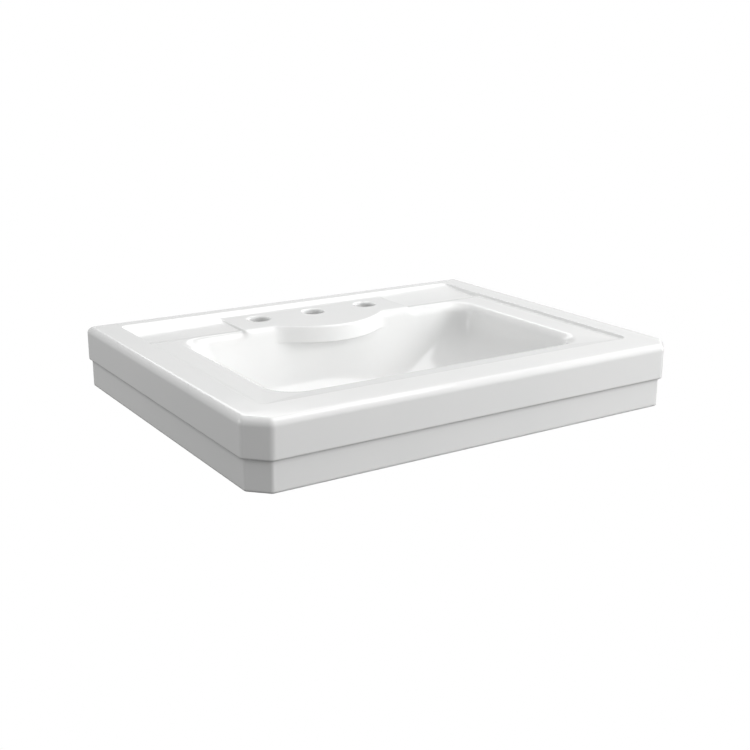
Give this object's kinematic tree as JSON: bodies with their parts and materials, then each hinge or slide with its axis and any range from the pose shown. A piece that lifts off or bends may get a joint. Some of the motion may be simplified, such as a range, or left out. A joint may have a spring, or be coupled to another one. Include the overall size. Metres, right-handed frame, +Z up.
{
  "type": "pedestal sink basin",
  "caption": "Rectangular wall-backed basin with clipped front corners, a two-tier apron, a bow-fronted tap platform with overflow hood, a push-button drain and wall fixings.",
  "frame": {"origin": "on the basin's flat wall face, half-way between its two fixing holes, 55 mm below the rim", "axes": "+X to the right seen from the front, +Y into the wall, +Z up; the basin's front faces -Y"},
  "size_m": [0.72, 0.603, 0.203],
  "materials": {
    "china": "gloss white glaze",
    "chrome": "polished chrome on brass",
    "brass": "machined brass",
    "zinc_steel": "zinc-plated steel",
    "spring_steel": "drawn stainless wire",
    "black_rubber": "moulded black rubber",
    "grey_rubber": "moulded grey rubber",
    "white_acetal": "moulded white acetal"
  },
  "bodies": {
    "root": {"basin": "china", "drain_body": "chrome", "flange_gasket": "grey_rubber", "spigot_gasket": "black_rubber", "friction_washer": "white_acetal", "lock_nut": "brass", "cartridge_sleeve": "white_acetal", "cartridge_plug": "brass", "return_spring": "spring_steel", "wall_bolt_left": "zinc_steel", "wall_bolt_right": "zinc_steel", "wall_gasket_left": "black_rubber", "wall_gasket_right": "black_rubber", "wall_washer_left": "zinc_steel", "wall_washer_right": "zinc_steel", "wall_nut_left": "zinc_steel", "wall_nut_right": "zinc_steel"},
    "stopper": {"stopper_cap": "chrome", "stopper_seal": "black_rubber", "cap_lock_nut": "brass", "plunger_stem": "brass"},
    "cam": {"cam_rotor": "white_acetal"}
  },
  "joints": [
    {"name": "stopper_slide", "type": "slide", "parent": "root", "child": "stopper", "axis": [0, 0, 1], "range_m": [-0.0095, 0], "stiffness_N_per_m": 600, "springref_m": 0.01, "deforming": ["return_spring"]},
    {"name": "cam_turn", "type": "hinge", "parent": "stopper", "child": "cam", "pos_m": [0, -0.295, -0.108], "axis": [0, 0, 1], "range_deg": [-45.5, 0]}
  ],
  "couplings": [
    {"joint": "cam_turn", "follows": "stopper_slide", "rad_per_m": 82.67}
  ]
}
